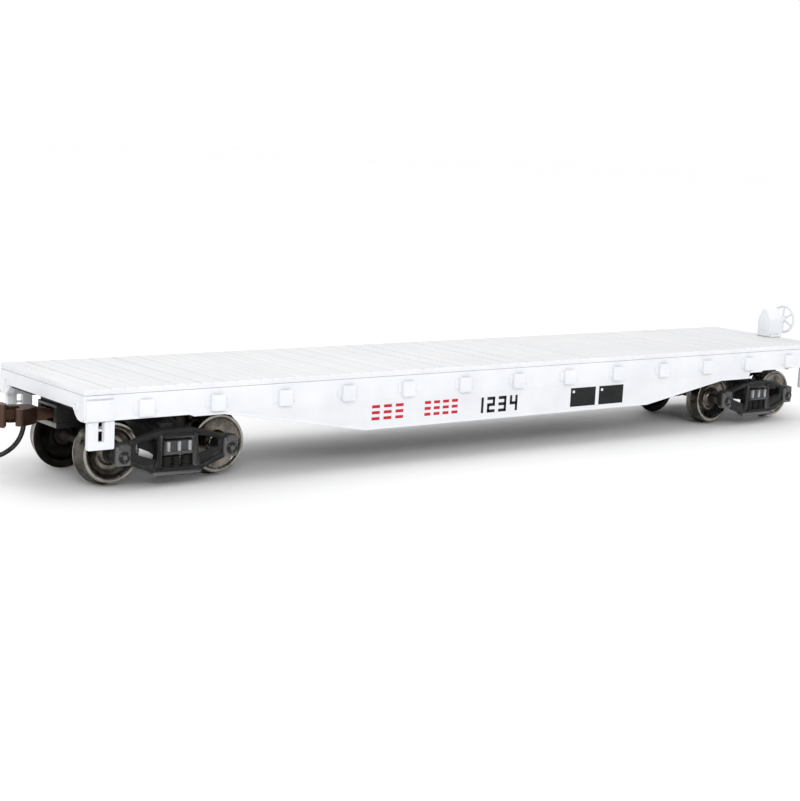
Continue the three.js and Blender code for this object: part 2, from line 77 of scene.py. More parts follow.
# ------------------------------------------------------------------ materials
class Shader:
    """A node material built on object coordinates, so that it stays on a piece that moves."""

    def __init__(self, name):
        self.material = bpy.data.materials.new(name)
        self.material.use_nodes = True
        self.tree = self.material.node_tree
        self.bsdf = self.tree.nodes["Principled BSDF"]
        self.coords = self.tree.nodes.new("ShaderNodeTexCoord").outputs["Object"]

    def add(self, kind, **settings):
        node = self.tree.nodes.new(kind)
        for key, value in settings.items():
            setattr(node, key, value)
        return node

    def link(self, a, b):
        self.tree.links.new(a, b)

    def up(self):
        """How far a surface faces upwards."""
        split = self.add("ShaderNodeSeparateXYZ")
        self.link(self.tree.nodes["Texture Coordinate"].outputs["Normal"], split.inputs["Vector"])
        return split.outputs["Z"]

    def edges(self):
        """Over one half on outward edges."""
        return self.add("ShaderNodeNewGeometry").outputs["Pointiness"]

    def mapped(self, scale):
        mapping = self.add("ShaderNodeMapping")
        mapping.inputs["Scale"].default_value = scale
        self.link(self.coords, mapping.inputs["Vector"])
        return mapping.outputs["Vector"]

    def noise(self, scale, detail=3.0, roughness=0.55, stretch=(1, 1, 1), distortion=0.0):
        node = self.add("ShaderNodeTexNoise")
        node.inputs["Scale"].default_value = scale
        node.inputs["Detail"].default_value = detail
        node.inputs["Roughness"].default_value = roughness
        node.inputs["Distortion"].default_value = distortion
        self.link(self.mapped(stretch), node.inputs["Vector"])
        return node.outputs["Fac"]

    def ramp(self, factor, stops):
        """A colour between two stops, each a position and a colour."""
        node = self.add("ShaderNodeValToRGB")
        for element, (position, color) in zip(node.color_ramp.elements, stops):
            element.position = position
            element.color = (*color, 1.0)
        self.link(factor, node.inputs["Fac"])
        return node.outputs["Color"]

    def span(self, factor, low, high, from_low=0.3, from_high=0.7):
        """Runs from low to high while factor runs from from_low to from_high."""
        node = self.add("ShaderNodeMapRange")
        node.inputs["From Min"].default_value = from_low
        node.inputs["From Max"].default_value = from_high
        node.inputs["To Min"].default_value = low
        node.inputs["To Max"].default_value = high
        self.link(factor, node.inputs["Value"])
        return node.outputs["Result"]

    def mix(self, factor, a, b):
        """The colour a where factor is 0 and b where it is 1."""
        node = self.add("ShaderNodeMix", data_type="RGBA")
        factor_in, a_in, b_in = (node.inputs[index] for index in (0, 6, 7))
        for value, into in ((factor, factor_in), (a, a_in), (b, b_in)):
            if isinstance(value, tuple):
                into.default_value = (*value, 1.0)
            else:
                self.link(value, into)
        return node.outputs[2]

    def bump(self, height, strength, distance, under=None):
        """Small relief over the whole surface, on top of the relief under."""
        node = self.add("ShaderNodeBump")
        node.inputs["Strength"].default_value = strength
        node.inputs["Distance"].default_value = distance
        self.link(height, node.inputs["Height"])
        if under is not None:
            self.link(under, node.inputs["Normal"])
        self.link(node.outputs["Normal"], self.bsdf.inputs["Normal"])
        return node.outputs["Normal"]

    def color(self, output):
        self.link(output, self.bsdf.inputs["Base Color"])

    def rough(self, output):
        self.link(output, self.bsdf.inputs["Roughness"])

    def fixed(self, name, value):
        """Sets a socket of the shader to one value all over."""
        self.bsdf.inputs[name].default_value = value


FINE_RELIEF = 0.00002                      # metres
COARSE_RELIEF = 0.00006


def plastic(name, dark, light, rough=(0.38, 0.5), grain=5200.0, grain_strength=0.12, patch=160.0,
            top_light_and_dust=None, top_light_and_dust_amount=0.0, specular=0.5, wear_and_edge_highlight=None, wear_and_edge_highlight_amount=0.0):
    """Moulded plastic: tone drift, fine mould grain, uneven gloss, dust specks, upper faces lightened as dust
    and painted top light, and outward edges lightened as wear and painted highlight.
    """
    s = Shader(name)
    drift = s.noise(patch, 4.0)
    tone = s.ramp(drift, [(0.32, dark), (0.68, light)])
    if top_light_and_dust is not None:
        speck = s.noise(patch * 5.5, 6.0, 0.7)
        tone = s.mix(s.span(speck, 0.0, top_light_and_dust_amount, 0.52, 0.75), tone, top_light_and_dust)
        # painted top light with dust: faces that point upwards are lightened towards the dust colour
        tone = s.mix(s.span(s.up(), 0.0, top_light_and_dust_amount, 0.35, 0.95), tone, top_light_and_dust)
    if wear_and_edge_highlight is not None:
        # painted highlight with wear: outward edges are lightened towards the wear colour
        tone = s.mix(s.span(s.edges(), 0.0, wear_and_edge_highlight_amount, 0.53, 0.62), tone, wear_and_edge_highlight)
    s.color(tone)
    s.rough(s.span(s.noise(patch * 3.0, 3.0), *rough))
    fine = s.bump(s.noise(grain, 2.0), grain_strength, FINE_RELIEF)
    s.bump(s.noise(patch * 4.0, 2.0), 0.15, COARSE_RELIEF, fine)
    s.fixed("Specular IOR Level", specular)
    return s.material


def metal(name, dark, light, rough=(0.2, 0.34), stretch=(1, 1, 1), scale=900.0, patch=260.0):
    """Metal with machining marks and a thin, uneven film of oxide; on the wheels the film's dark and pale
    patches are painted reflections.
    """
    s = Shader(name)
    film_and_painted_reflection = s.noise(patch, 5.0, 0.6)
    s.color(s.ramp(film_and_painted_reflection, [(0.3, dark), (0.62, light)]))
    marks = s.noise(scale, 3.0, 0.6, stretch)
    s.rough(s.span(marks, *rough))
    s.bump(marks, 0.10, FINE_RELIEF)
    s.fixed("Metallic", 1.0)
    return s.material


WHITE_LOW = (0.735, 0.752, 0.785)
WHITE_HIGH = (0.795, 0.810, 0.838)
white = plastic("white_moulded", WHITE_LOW, WHITE_HIGH, rough=(0.40, 0.54), grain=6500.0,
                grain_strength=0.10)
# The black, truck and coupler plastics lighten their upper faces as painted top light with dust and their
# outward edges as painted highlight with wear; the truck's are the strongest.
black = plastic("black_moulded", (0.0040, 0.0040, 0.0037), (0.0075, 0.0075, 0.0070),
                rough=(0.42, 0.6), top_light_and_dust=(0.030, 0.032, 0.028), top_light_and_dust_amount=0.30, specular=0.12,
                wear_and_edge_highlight=(0.05, 0.05, 0.047), wear_and_edge_highlight_amount=0.4)
truck_grey = plastic("truck_moulded", (0.0050, 0.0054, 0.0058), (0.0115, 0.0120, 0.0125),
                     rough=(0.28, 0.42), top_light_and_dust=(0.085, 0.085, 0.083), top_light_and_dust_amount=0.45, specular=0.20,
                     wear_and_edge_highlight=(0.24, 0.24, 0.24), wear_and_edge_highlight_amount=0.45)
# painted highlight: a pale grey for the lit front edge of each coupler box's cover
lip_painted_highlight = plastic("lip_painted_highlight", (0.15, 0.135, 0.12), (0.26, 0.24, 0.215), rough=(0.3, 0.45), patch=500.0)
# painted highlight: a pale copy of the truck plastic for the lit bars on the bolster ends
bars_painted_highlight = plastic("bolster_bars_painted_highlight", (0.24, 0.25, 0.265), (0.40, 0.41, 0.43), rough=(0.22, 0.34), patch=700.0)
axle_dark = plastic("axle_moulded", (0.020, 0.013, 0.010), (0.040, 0.026, 0.020), rough=(0.35, 0.5))
bushing = plastic("wheel_bushing", (0.008, 0.008, 0.009), (0.016, 0.016, 0.017), rough=(0.4, 0.55))
coupler_brown = plastic("coupler_rust_brown", (0.011, 0.0046, 0.0030), (0.028, 0.0112, 0.0066),
                        rough=(0.42, 0.62), patch=420.0, grain_strength=0.25, top_light_and_dust=(0.075, 0.036, 0.022),
                        top_light_and_dust_amount=0.30, specular=0.22, wear_and_edge_highlight=(0.13, 0.070, 0.045), wear_and_edge_highlight_amount=0.5)
red_ink = plastic("red_marking", (0.46, 0.010, 0.026), (0.56, 0.018, 0.040), rough=(0.5, 0.62), specular=0.2)
black_ink = plastic("black_marking", (0.007, 0.008, 0.008), (0.013, 0.014, 0.014), rough=(0.5, 0.62),
                    specular=0.2)
white_ink = plastic("pale_marking", (0.70, 0.71, 0.72), (0.78, 0.79, 0.80), rough=(0.5, 0.62))
# The wheels are one metal in painted copies: tread and back dark as painted shade and reflected dark, rim and
# cone pale as painted highlight and reflection, plate in painted reflection patches.
tread_painted_dark_reflection = metal("wheel_tread", (0.028, 0.025, 0.021), (0.125, 0.117, 0.102), rough=(0.20, 0.34),
                    patch=420.0)
back_painted_shade = metal("wheel_back", (0.010, 0.009, 0.008), (0.040, 0.038, 0.034), rough=(0.30, 0.45),
                   patch=300.0)
rim_painted_highlight = metal("wheel_rim", (0.20, 0.186, 0.165), (0.40, 0.375, 0.335), rough=(0.18, 0.30),
                  patch=420.0)
plate_painted_reflections = metal("wheel_plate", (0.012, 0.009, 0.007), (0.22, 0.195, 0.168), rough=(0.16, 0.28),
                    patch=330.0)
cone_painted_reflection = metal("wheel_cone", (0.10, 0.090, 0.078), (0.42, 0.390, 0.345), rough=(0.20, 0.32),
                   patch=420.0)
screw_metal = metal("screw_steel", (0.13, 0.128, 0.125), (0.28, 0.275, 0.27), rough=(0.25, 0.4))
pin_metal = metal("trip_pin_wire", (0.012, 0.012, 0.012), (0.055, 0.055, 0.054), rough=(0.16, 0.28),
                  patch=900.0)
weight_metal = metal("rolled_weight", (0.26, 0.26, 0.265), (0.42, 0.42, 0.425), rough=(0.35, 0.5),
                     stretch=(0.06, 1, 1), scale=2600.0)


def deck_material():
    """White moulded planks: grain along each plank, tone that changes from plank to plank, all darker than
    the body's white as painted shade on the top.
    """
    s = Shader("white_deck_painted_shade")
    grain = s.noise(1500.0, 4.0, 0.6, (1.0, 0.05, 0.4), 0.4)
    plank = s.noise(420.0, 0.0, 0.5, (1.0, 0.0, 0.0))
    drift = s.noise(60.0, 3.0)
    tone = s.ramp(drift, [(0.3, (0.665, 0.668, 0.680)), (0.7, (0.715, 0.716, 0.726))])
    tone = s.mix(s.span(plank, 0.0, 0.5, 0.35, 0.65), tone, (0.645, 0.648, 0.660))
    s.color(tone)
    s.rough(s.span(grain, 0.44, 0.58))
    s.bump(grain, 0.22, COARSE_RELIEF)
    return s.material


deck_white_painted_shade = deck_material()


# ---------------------------------------------------------------- mesh making
WELD = 1e-4                                # points nearer than this are one
CURVE_ROUNDING = 2                         # rings in a plate's rounded edge


def new_object(name, data):
    thing = bpy.data.objects.new(name, data)
    bpy.context.scene.collection.objects.link(thing)
    return thing


def as_object(name, bm):
    """A new object with the shape of bm, which is freed."""
    mesh = bpy.data.meshes.new(name)
    bm.to_mesh(mesh)
    bm.free()
    return new_object(name, mesh)


def evaluated(holder):
    """The finished shape of the object holder in a new bmesh; holder is removed."""
    graph = bpy.context.evaluated_depsgraph_get()
    mesh = bpy.data.meshes.new_from_object(holder.evaluated_get(graph))
    bpy.data.objects.remove(holder)
    part = bmesh.new()
    part.from_mesh(mesh)
    bpy.data.meshes.remove(mesh)
    return part


def from_curve(name, curve):
    """A curve's surface in a new bmesh, as one closed skin that faces outwards."""
    part = evaluated(new_object(name, curve))
    bmesh.ops.remove_doubles(part, verts=part.verts, dist=WELD)
    bmesh.ops.recalc_face_normals(part, faces=part.faces)
    return part


def append(bm, part, place):
    """Moves part by the matrix place and appends it to bm with its own material numbers."""
    bmesh.ops.transform(part, matrix=place, verts=part.verts)
    holder = bpy.data.meshes.new("part")
    part.to_mesh(holder)
    part.free()
    bm.from_mesh(holder)
    bpy.data.meshes.remove(holder)


def merge(bm, part, place=Matrix.Identity(4), material=0):
    """Appends part to bm as append does, all of it in one material."""
    for face in part.faces:
        face.material_index = material
    append(bm, part, place)


def outline_mesh(bm, loops, half, bevel, place):
    """Adds a bevelled flat plate to bm. loops are an outline and its holes as (a, b) points."""
    curve = bpy.data.curves.new("outline", "CURVE")
    curve.dimensions = "2D"
    curve.fill_mode = "BOTH"
    curve.extrude = max(half - bevel, 0.0)
    curve.bevel_depth = bevel
    curve.bevel_resolution = CURVE_ROUNDING
    curve.offset = -bevel
    for points in loops:
        spline = curve.splines.new("POLY")
        spline.points.add(len(points) - 1)
        for point, (a, b) in zip(spline.points, points):
            point.co = (a, b, 0.0, 1.0)
        spline.use_cyclic_u = True
    merge(bm, from_curve("outline", curve), place)


TO_Y = Matrix(((1, 0, 0, 0), (0, 0, -1, 0), (0, 1, 0, 0), (0, 0, 0, 1)))   # (a, b) lie in XZ
TO_X = Matrix(((0, 0, 1, 0), (1, 0, 0, 0), (0, 1, 0, 0), (0, 0, 0, 1)))    # (a, b) lie in YZ


def plate_y(bm, loops, y0, y1, bevel):
    outline_mesh(bm, loops, abs(y1 - y0) / 2, bevel, Matrix.Translation((0, (y0 + y1) / 2, 0)) @ TO_Y)


def plate_x(bm, loops, x0, x1, bevel):
    outline_mesh(bm, loops, abs(x1 - x0) / 2, bevel, Matrix.Translation(((x0 + x1) / 2, 0, 0)) @ TO_X)


def plate_z(bm, loops, z0, z1, bevel, at):
    outline_mesh(bm, loops, abs(z1 - z0) / 2, bevel, Matrix.Translation((*at, (z0 + z1) / 2)))


LARGEST_SHARE = 0.45                       # of a length that its rounded end or corner may take


def block(bm, x, y, z, bevel=0.1, segments=2, material=0):
    """A box with rounded edges; x, y and z are its two limits along each axis."""
    part = bmesh.new()
    bmesh.ops.create_cube(part, size=1.0)
    size = [abs(pair[1] - pair[0]) for pair in (x, y, z)]
    middle = [(pair[1] + pair[0]) / 2 for pair in (x, y, z)]
    place = Matrix.Translation(middle) @ Matrix.Diagonal((*size, 1))
    bmesh.ops.transform(part, matrix=place, verts=part.verts)
    if bevel > 0:
        bmesh.ops.bevel(part, geom=part.edges[:], offset=min(bevel, min(size) * LARGEST_SHARE),
                        segments=segments, profile=0.5, affect="EDGES", clamp_overlap=True)
    merge(bm, part, material=material)


def turned(bm, profile, place, segments=48, materials=None, closed=False):
    """Turns (radius, height) points about the Z axis; place carries the solid to its spot."""
    part = bmesh.new()
    rings = []
    for radius, height in profile:
        if radius == 0:
            rings.append([part.verts.new((0, 0, height))])
            continue
        ring = []
        for i in range(segments):
            angle = 2 * math.pi * i / segments
            ring.append(part.verts.new((radius * math.cos(angle), radius * math.sin(angle), height)))
        rings.append(ring)
    pairs = list(zip(rings, rings[1:]))
    if closed:
        pairs.append((rings[-1], rings[0]))
    slots = []
    for number, (low, high) in enumerate(pairs):
        for i in range(segments):
            j = (i + 1) % segments
            quad = (low[i % len(low)], low[j % len(low)], high[j % len(high)], high[i % len(high)])
            points = [v for k, v in enumerate(quad) if v not in quad[:k]]
            if len(points) > 2:
                part.faces.new(points)
                slots.append(materials[number] if materials else 0)
    bmesh.ops.recalc_face_normals(part, faces=part.faces)
    for face, slot_index in zip(part.faces, slots):
        face.material_index = slot_index
    append(bm, part, place)


ALONG = {
    "x": Matrix.Rotation(math.pi / 2, 4, "Y"),
    "y": Matrix.Rotation(-math.pi / 2, 4, "X"),
    "z": Matrix.Identity(4),
}


def disc(bm, axis, centre, radius, h0, h1, edge=0.08, segments=24, material=0):
    """A short round boss with a rounded rim, along axis from h0 to h1 past centre."""
    sign = 1 if h1 > h0 else -1
    profile = [(0, h0), (radius, h0), (radius, h1 - sign * edge),
               (radius - edge * 0.3, h1 - sign * edge * 0.3), (radius - edge, h1), (0, h1)]
    place = Matrix.Translation(centre) @ ALONG[axis]
    turned(bm, profile, place, segments, [material] * (len(profile) - 1))


def tube(bm, points, radius, sides=12, material=0, smooth_steps=1):
    """A round wire along points, straight between them or smoothed in steps."""
    curve = bpy.data.curves.new("wire", "CURVE")
    curve.dimensions = "3D"
    curve.bevel_depth = radius
    curve.bevel_resolution = max(1, sides // 4 - 1)
    curve.use_fill_caps = True
    kind = "NURBS" if smooth_steps > 1 else "POLY"
    spline = curve.splines.new(kind)
    spline.points.add(len(points) - 1)
    for point, co in zip(spline.points, points):
        point.co = (*co, 1.0)
    if kind == "NURBS":
        spline.order_u = 4
        spline.use_endpoint_u = True
        spline.resolution_u = smooth_steps
    merge(bm, from_curve("wire", curve), material=material)


def rounded(points, radius, steps=3):
    """Rounds every corner of an outline."""
    out = []
    count = len(points)
    for i, corner in enumerate(points):
        before = Vector(points[i - 1])
        here = Vector(corner)
        after = Vector(points[(i + 1) % count])
        reach = min(radius, (before - here).length * LARGEST_SHARE, (after - here).length * LARGEST_SHARE)
        start = here + (before - here).normalized() * reach
        stop = here + (after - here).normalized() * reach
        for k in range(steps + 1):
            t = k / steps
            spot = start * (1 - t) ** 2 + here * (2 * t * (1 - t)) + stop * t ** 2
            out.append((spot.x, spot.y))
    return out


def mirrored(points):
    return [(-a, b) for a, b in points]


def both_sides(right):
    """The outline whose right half is given."""
    return list(right) + mirrored(right)[::-1]


def finish_piece(name, bm, materials, body, slot_name, *nodes, smooth=38.0):
    """Turns bm into an object that rides on body and stands for the given CAD nodes."""
    bmesh.ops.transform(bm, matrix=Matrix.Scale(MM, 4), verts=bm.verts)
    piece = as_object(name, bm)
    mesh = piece.data
    for polygon in mesh.polygons:
        polygon.use_smooth = True
    mesh.set_sharp_from_angle(angle=math.radians(smooth))
    for material in materials:
        mesh.materials.append(material)
    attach(piece, body)
    if nodes:
        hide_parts(*nodes)


NODE_WELD = 2e-3
FLAT_ANGLE = math.radians(1.0)             # facets that meet at less than this become one face


def node_shape(node, bevel, segments=2, limit=28.0):
    """The CAD node's own shape in a new bmesh, in millimetres, with its edges rounded."""
    bm = bmesh.new()
    bm.from_mesh(NODES[node].data)
    bmesh.ops.transform(bm, matrix=Matrix.Scale(1 / MM, 4), verts=bm.verts)
    bmesh.ops.remove_doubles(bm, verts=bm.verts, dist=NODE_WELD)
    bmesh.ops.dissolve_limit(bm, angle_limit=FLAT_ANGLE, verts=bm.verts, edges=bm.edges)
    for face in bm.faces:
        face.material_index = 0
    holder = as_object("shape", bm)
    modifier = holder.modifiers.new("edge", "BEVEL")
    modifier.width = bevel
    modifier.segments = segments
    modifier.limit_method = "ANGLE"
    modifier.angle_limit = math.radians(limit)
    modifier.use_clamp_overlap = True
    return evaluated(holder)


def end_place(end, x=0.0):
    """From an end's own frame (pointing to +X) to the row frame."""
    turn = Matrix.Rotation(math.pi, 4, "Z") if end == "a" else Matrix.Identity(4)
    return turn @ Matrix.Translation((x, 0, 0))


def side_name(end, sign):
    """near or far for the side that sign gives in an end's own frame."""
    return "near" if (sign if end == "b" else -sign) < 0 else "far"


# ----------------------------------------------------------------------- deck
PLANK_PITCH = 2.4
PLANK_GAP = 0.07
PLANK_DEPTH = 0.75
GROOVE_DEPTH = 0.22
NAIL_ROWS = (-HALF_WIDTH + 0.75, -5.2, 5.2, HALF_WIDTH - 0.75)
NAIL_FROM_EDGE = 0.55
NAIL_R = 0.13
NAIL_PROUD = 0.03
OUTER_EDGE = 0.1                           # faces this near the deck's outline have the body's white, not the deck's painted shade


def wobble(i, amount):
    """A small fixed variation from plank to plank."""
    return amount * (0.5 + 0.5 * math.sin(i * 12.9898 + 4.1) * math.cos(i * 3.233))


def build_deck():
    bm = bmesh.new()
    block(bm, (-HALF_LENGTH + 0.05, HALF_LENGTH - 0.05), (-HALF_WIDTH + 0.05, HALF_WIDTH - 0.05),
          (DECK_BOTTOM, DECK_TOP - GROOVE_DEPTH), 0.05, 1)
    for i in range(round(2 * HALF_LENGTH / PLANK_PITCH)):
        x0 = -HALF_LENGTH + i * PLANK_PITCH + PLANK_GAP / 2
        x1 = x0 + PLANK_PITCH - PLANK_GAP
        top = DECK_TOP - wobble(i, 0.05)
        ends = (-HALF_WIDTH + wobble(i * 7, 0.06), HALF_WIDTH - wobble(i * 5, 0.06))
        block(bm, (x0, x1), ends, (DECK_TOP - PLANK_DEPTH, top), 0.09, 2)
        for y in NAIL_ROWS:
            for x in (x0 + NAIL_FROM_EDGE, x1 - NAIL_FROM_EDGE):
                disc(bm, "z", (x, y, 0), NAIL_R, top - 0.05, top + NAIL_PROUD, NAIL_PROUD, 8)
    for face in bm.faces:
        middle = face.calc_center_median()
        if abs(middle.y) > HALF_WIDTH - OUTER_EDGE or abs(middle.x) > HALF_LENGTH - OUTER_EDGE:
            face.material_index = 1
    finish_piece("deck_planks", bm, [deck_white_painted_shade, white], "car_body", "white_body", "deck")


build_deck()

# ----------------------------------------------------------------- side sills
SILL_TOP = corners("side_sill_near")[1].z
SILL_MID_Z = corners("side_sill_near")[0].z
SILL_END_Z = RAIL_Z + 11.9
SILL_STEP_Z = SILL_END_Z - 0.35
SILL_KINK = (37.0, SILL_MID_Z)             # where the slope meets the deep middle part
SILL_THICK = 1.5
LOWER_EDGE = [
    (HALF_LENGTH, SILL_END_Z), (74.0, SILL_END_Z), (73.2, SILL_STEP_Z), (67.3, SILL_STEP_Z), SILL_KINK,
]
LIP_Z = 10.95                              # the jacking lip, on one half of each sill only
LIPPED_EDGE = LOWER_EDGE[:3] + [(69.5, SILL_STEP_Z), (69.2, LIP_Z), (60.1, LIP_Z), SILL_KINK]
POCKET_PITCH = 13.73
POCKETS = [(i - 6) * POCKET_PITCH for i in range(13)]
POCKET_TOP = DECK_TOP - 2.1
POCKET_BOTTOM = DECK_TOP - 4.9
POCKET_FLANGE_X = 1.85
STRAP = [                                  # a stake pocket from above, (along the sill, away from it)
    (-1.45, -0.15), (-1.45, 0.55), (-1.12, 0.88), (1.12, 0.88), (1.45, 0.55), (1.45, -0.15),
    (0.95, -0.15), (0.95, 0.42), (0.79, 0.52), (-0.79, 0.52), (-0.95, 0.42), (-0.95, -0.15),
]
PAD_INNER = 5.2                            # the corner pads' reach from the sill's end
PAD_PROUD = 0.33
RIVET_R = 0.17
RIVET_EDGE = 0.07


def facing(sign, depth):
    """y of a point that stands depth proud of the side sill's face."""
    return sign * (HALF_WIDTH + depth)


def sill_rivet(bm, sign, x, z, low, high):
    """A rivet on the side sill, from low to high above its face."""
    disc(bm, "y", (x, 0, z), RIVET_R, facing(sign, low), facing(sign, high), RIVET_EDGE, 10)


def build_side_sill(side, sign):
    bm = bmesh.new()
    right, left = (LIPPED_EDGE, LOWER_EDGE) if sign < 0 else (LOWER_EDGE, LIPPED_EDGE)
    lower = right + mirrored(left)[::-1]
    profile = [(HALF_LENGTH, SILL_TOP)] + lower + [(-HALF_LENGTH, SILL_TOP)]
    plate_y(bm, [profile], facing(sign, -SILL_THICK), facing(sign, 0), 0.10)
    bead = lower + [(a, b + 0.5) for a, b in lower[::-1]]
    plate_y(bm, [bead], facing(sign, -0.3), facing(sign, 0.10), 0.06)
    loop = [(a, sign * b) for a, b in STRAP]
    for x in POCKETS:
        plate_z(bm, [loop], POCKET_BOTTOM, POCKET_TOP, 0.06, (x, facing(sign, 0)))
        for dx in (-POCKET_FLANGE_X, POCKET_FLANGE_X):
            block(bm, (x + dx - 0.5, x + dx + 0.5), (facing(sign, -0.1), facing(sign, 0.16)),
                  (POCKET_BOTTOM + 0.5, POCKET_TOP - 0.4), 0.05)
            for z in (POCKET_BOTTOM + 0.9, POCKET_TOP - 0.8):
                sill_rivet(bm, sign, x + dx * 1.03, z, 0.1, 0.26)
    pad_y = (facing(sign, -0.2), facing(sign, PAD_PROUD))
    for end in (-1, 1):
        xs = sorted((end * (HALF_LENGTH - 0.3), end * (HALF_LENGTH - PAD_INNER)))
        block(bm, xs, pad_y, (SILL_END_Z + 0.02, DECK_TOP - 1.82), 0.08)
        block(bm, xs, pad_y, (DECK_TOP - 1.56, DECK_TOP - 1.05), 0.08)
        for x in (xs[0] + 0.5, xs[1] - 0.5):
            for z in (SILL_END_Z + 0.5, DECK_TOP - 2.3):
                sill_rivet(bm, sign, x, z, 0.25, 0.42)
    finish_piece(f"side_sill_{side}_detail", bm, [white], "car_body", "white_body", f"side_sill_{side}")


for side, sign in (("near", -1), ("far", 1)):
    build_side_sill(side, sign)

# ------------------------------------------------------------ generic markings
# Plain bars, a plain number and blank panels stand where the real car has its markings. Their places are
# along the side as it is read, from the left, with 0 in the middle.
MARK_Z = 10.3
MARK_PROUD = 0.02
BAR_GROUPS = ((-35.6, 3, 2.75), (-23.2, 4, 2.2))       # start, number of bars, pitch
BAR_TALL = 2.9
BAR_THICK = 0.55
DIGITS_X = -10.6
DIGIT_PITCH = 2.92
DIGIT_WIDE = 2.0
DIGIT_TALL = 3.05
STROKE = 0.58
SEGMENTS = {"1": "bc", "2": "abged", "3": "abgcd", "4": "fgbc"}
PANELS = ((14.6, 21.6), (22.6, 29.6))
PANEL_Z = (8.1, 11.9)


def mark_block(bm, sign, x0, x1, z0, z1, material, layer=0):
    block(bm, sorted((sign * -x0, sign * -x1)),
          sorted((facing(sign, -0.05), facing(sign, MARK_PROUD * (1 + layer)))), (z0, z1), 0.0, 1, material)


def build_markings(side, sign):
    bm = bmesh.new()
    for start, count, step in BAR_GROUPS:
        for k in range(count):
            x = start + k * step
            for row in range(3):
                z = MARK_Z - BAR_TALL / 2 + row * BAR_TALL / 2.6
                mark_block(bm, sign, x, x + step * 0.66, z, z + BAR_THICK, 0)
    z = MARK_Z - 0.35 - DIGIT_TALL / 2
    half, top = z + DIGIT_TALL / 2, z + DIGIT_TALL
    for k, digit in enumerate("1234"):
        x = DIGITS_X + k * DIGIT_PITCH
        right = x + DIGIT_WIDE
        spots = {
            "a": (x, right, top - STROKE, top), "d": (x, right, z, z + STROKE),
            "g": (x, right, half - STROKE / 2, half + STROKE / 2),
            "b": (right - STROKE, right, half, top), "c": (right - STROKE, right, z, half),
            "e": (x, x + STROKE, z, half), "f": (x, x + STROKE, half, top),
        }
        for name in SEGMENTS[digit]:
            mark_block(bm, sign, *spots[name], 1)
    for x0, x1 in PANELS:
        mark_block(bm, sign, x0, x1, *PANEL_Z, 1)
        mark_block(bm, sign, x0 + 0.5, x0 + 1.1, 10.9, 11.4, 2, 1)
    finish_piece(f"side_markings_{side}", bm, [red_ink, black_ink, white_ink], "car_body", "white_body")


for side, sign in (("near", -1), ("far", 1)):
    build_markings(side, sign)

# ------------------------------------------------------- end sills and steps
END_LOW, END_HIGH = corners("end_sill_b")
END_MIDDLE_Z = RAIL_Z + 13.7
END_THICK = 1.5
RING_Y = 12.9                              # the ring near each corner, as (radius, height) round its section
RING = [(0.55, 0.0), (0.85, 0.0), (0.85, 0.22), (0.7, 0.3), (0.55, 0.22)]


def build_end(end):
    bm = bmesh.new()
    reach = END_HIGH.y
    low = END_LOW.z
    right = [(reach, SILL_TOP), (reach, low), (13.4, low + 0.1), (12.35, low + 0.9), (11.9, END_MIDDLE_Z)]
    plate_x(bm, [both_sides(right)], HALF_LENGTH - END_THICK, HALF_LENGTH, 0.12)
    for y in (-RING_Y, RING_Y):
        turned(bm, RING, Matrix.Translation((HALF_LENGTH - 0.05, y, low + 2.2)) @ ALONG["x"], 24, closed=True)
    bmesh.ops.transform(bm, matrix=end_place(end), verts=bm.verts)
    finish_piece(f"end_sill_{end}_detail", bm, [white], "car_body", "white_body", f"end_sill_{end}")


STEP_LEG = 1.85
STEP_FOOT = 1.35
RUNG_ABOVE = 3.15
RUNG_HALF = 0.19
BOLT_R = 0.2


def rectangle(x0, x1, z0, z1):
    return [(x0, z0), (x1, z0), (x1, z1), (x0, z1)]


def build_stirrup(end, sign):
    node = f"stirrup_{end}_{side_name(end, sign)}"
    low, high = corners(node)
    left, right = low.x + STEP_LEG, high.x - STEP_LEG
    bm = bmesh.new()
    loops = [rounded(rectangle(low.x, high.x, low.z, high.z), 0.3),
             rounded(rectangle(left, right, low.z + STEP_FOOT, high.z - 0.2), 0.15)]
    plate_y(bm, loops, low.y, high.y, 0.12)
    middle = low.z + RUNG_ABOVE
    rung = (low.y + 0.7, high.y - 0.05) if low.y < 0 else (low.y + 0.05, high.y - 0.7)
    block(bm, (left - 0.1, right + 0.1), rung, (middle - RUNG_HALF, middle + RUNG_HALF), 0.08)
    outer, outward = (low.y, -1) if low.y < 0 else (high.y, 1)
    for x in (low.x + STEP_LEG / 2, high.x - STEP_LEG / 2):
        disc(bm, "y", (x, 0, high.z - 0.55), BOLT_R, outer - outward * 0.1, outer + outward * 0.1, 0.07, 12)
    finish_piece(f"{node}_detail", bm, [white], "car_body", "white_body", node)


for end in ("a", "b"):
    build_end(end)
    for sign in (-1, 1):
        build_stirrup(end, sign)


# ----------------------------------------------------------------- hand brake
BASE_BOLT_R = 0.22


